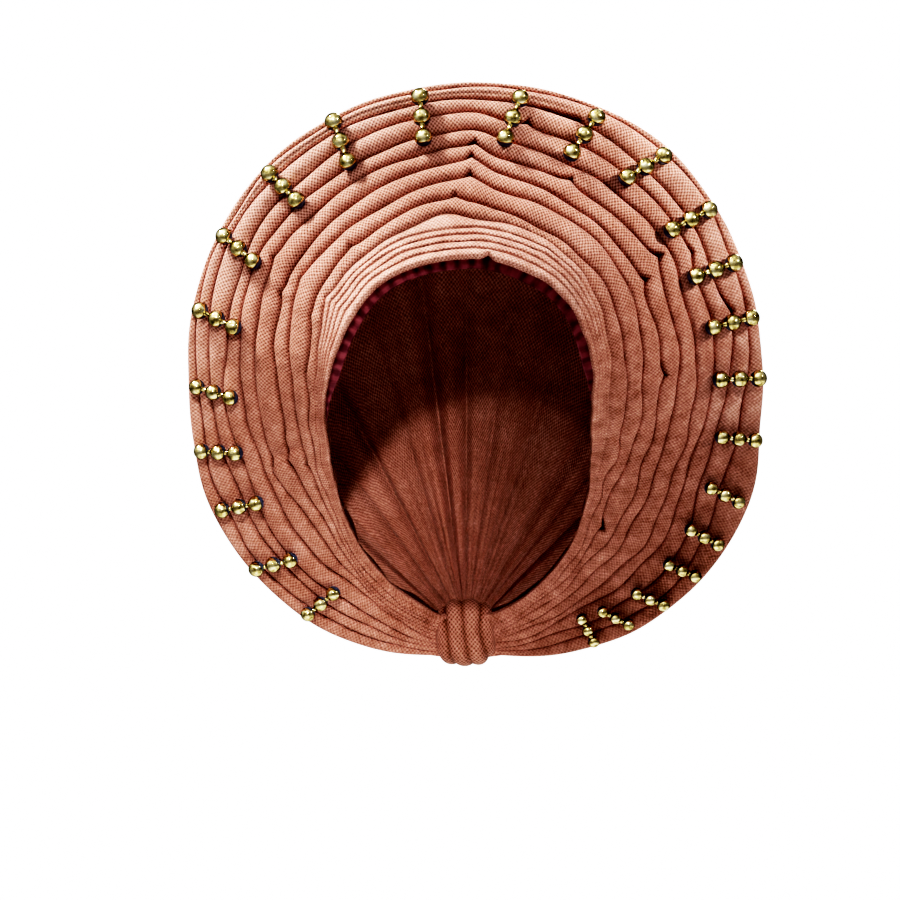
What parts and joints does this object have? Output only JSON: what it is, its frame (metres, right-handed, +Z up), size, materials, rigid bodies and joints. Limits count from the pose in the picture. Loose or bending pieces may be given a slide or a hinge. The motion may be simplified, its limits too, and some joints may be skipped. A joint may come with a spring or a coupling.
{
  "type": "tied gele head tie",
  "caption": "Ready-tied pleated fan head tie of woven cloth: rolled folds flare round the face, with gold bead strands along the rim, a brow band and a back wrap gathered to a nape knot.",
  "frame": {"origin": "centre of the head opening, level with the temples, where the middle of the head sits", "axes": "+Z up the head, -Y the way the face looks, +X to the viewer's right"},
  "size_m": [0.2877, 0.1773, 0.2924],
  "materials": {
    "woven_cloth": "coarse basket weave, matt with a slight sheen",
    "inner_band_cloth": "dark ribbed band, matt",
    "gold_bead": "polished gold colour"
  },
  "bodies": {
    "root": {"pleated_fan": "woven_cloth", "brow_band": "woven_cloth", "back_wrap": "woven_cloth", "nape_knot": "woven_cloth", "inner_band": "inner_band_cloth", "bead_row_01": "gold_bead", "bead_row_02": "gold_bead", "bead_row_03": "gold_bead", "bead_row_04": "gold_bead", "bead_row_05": "gold_bead", "bead_row_06": "gold_bead", "bead_row_07": "gold_bead", "bead_row_08": "gold_bead", "bead_row_09": "gold_bead", "bead_row_10": "gold_bead", "bead_row_11": "gold_bead", "bead_row_12": "gold_bead", "bead_row_13": "gold_bead", "bead_row_14": "gold_bead", "bead_row_15": "gold_bead", "bead_row_16": "gold_bead", "bead_row_17": "gold_bead", "bead_row_18": "gold_bead", "bead_row_19": "gold_bead", "bead_row_20": "gold_bead", "bead_row_21": "gold_bead", "bead_row_22": "gold_bead", "bead_row_23": "gold_bead", "bead_row_24": "gold_bead"}
  },
  "joints": []
}
